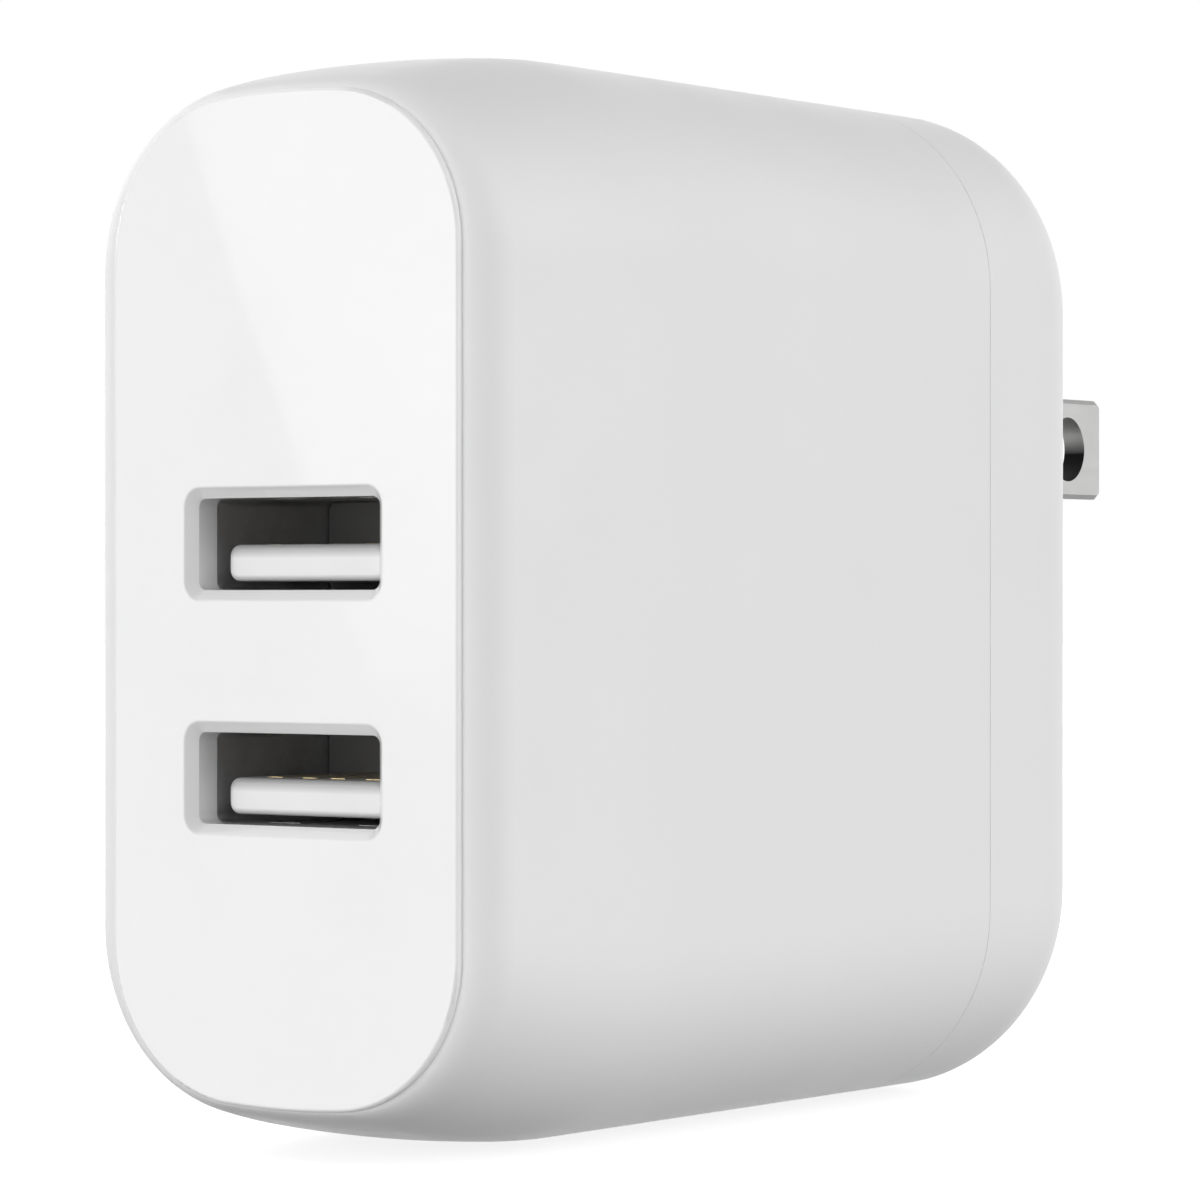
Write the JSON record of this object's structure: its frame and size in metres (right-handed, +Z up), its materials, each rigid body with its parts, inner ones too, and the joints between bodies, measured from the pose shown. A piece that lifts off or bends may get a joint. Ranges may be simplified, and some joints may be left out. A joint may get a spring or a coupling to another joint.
{
  "type": "usb wall charger",
  "caption": "Mains wall charger that powers phones and tablets from stacked USB-A sockets, with flat blades that fold into its back.",
  "frame": {"origin": "centre of the flat rear face that meets the wall outlet, at mid height and mid width", "axes": "+Y out of the rear face along the mains blades, -Y out of the front face with the sockets, +Z up, +X to the right seen from the front"},
  "size_m": [0.033, 0.0771, 0.0616],
  "materials": {
    "face_gloss": "polished white moulding",
    "case_satin": "fine satin white moulding",
    "rotor_satin": "satin white moulding",
    "blade_nickel": "bright nickel plating over brass",
    "liner_steel": "tin plated pressed sheet",
    "tongue_white": "smooth white moulding",
    "contact_gold": "gold flashed",
    "spring_bronze": "phosphor bronze strip",
    "inner_plastic": "black moulding",
    "screw_steel": "zinc plated",
    "wire_black": "insulated wire",
    "board_green": "solder mask",
    "ferrite_grey": "sintered ferrite",
    "winding_copper": "enamelled copper",
    "tape_yellow": "polyester tape",
    "can_sleeve": "sleeved can",
    "can_bare": "bare can",
    "chip_black": "moulded package",
    "disc_blue": "epoxy coated",
    "spreader_metal": "mill finish",
    "film_clear": "polyester film"
  },
  "bodies": {
    "charger": {"front_plate": "face_gloss", "main_housing": "case_satin", "rear_cap": "case_satin", "rotor_retainer": "inner_plastic", "retainer_screws": "screw_steel", "contact_spring_left": "spring_bronze", "contact_spring_right": "spring_bronze", "detent_spring": "screw_steel", "mains_wire_left": "wire_black", "mains_wire_right": "wire_black", "usb_shell_upper": "liner_steel", "usb_shell_lower": "liner_steel", "usb_insulator_upper": "tongue_white", "usb_insulator_lower": "tongue_white", "usb_contacts_upper": "contact_gold", "usb_contacts_lower": "contact_gold", "port_board": "board_green", "main_board": "board_green", "board_link_pins": "contact_gold", "transformer_core": "ferrite_grey", "transformer_bobbin": "inner_plastic", "transformer_winding": "winding_copper", "transformer_tape": "tape_yellow", "input_capacitor_large": "can_sleeve", "input_capacitor_small": "can_sleeve", "output_capacitors": "can_bare", "safety_capacitor": "disc_blue", "filter_coil_core": "ferrite_grey", "filter_coil_winding": "winding_copper", "fuse": "chip_black", "bridge_rectifier": "chip_black", "primary_controller": "chip_black", "optocoupler": "chip_black", "output_rectifier": "chip_black", "charging_controllers": "chip_black", "chip_resistors": "chip_black", "heat_spreader": "spreader_metal", "insulation_sheet": "film_clear"},
    "prongs": {"blade_rotor": "rotor_satin", "blade_left": "blade_nickel", "blade_right": "blade_nickel"}
  },
  "joints": [
    {"name": "prong_fold", "type": "hinge", "parent": "charger", "child": "prongs", "pos_m": [0, -0.0036, 0.01], "axis": [-1, 0, 0], "range_deg": [0, 90]}
  ]
}
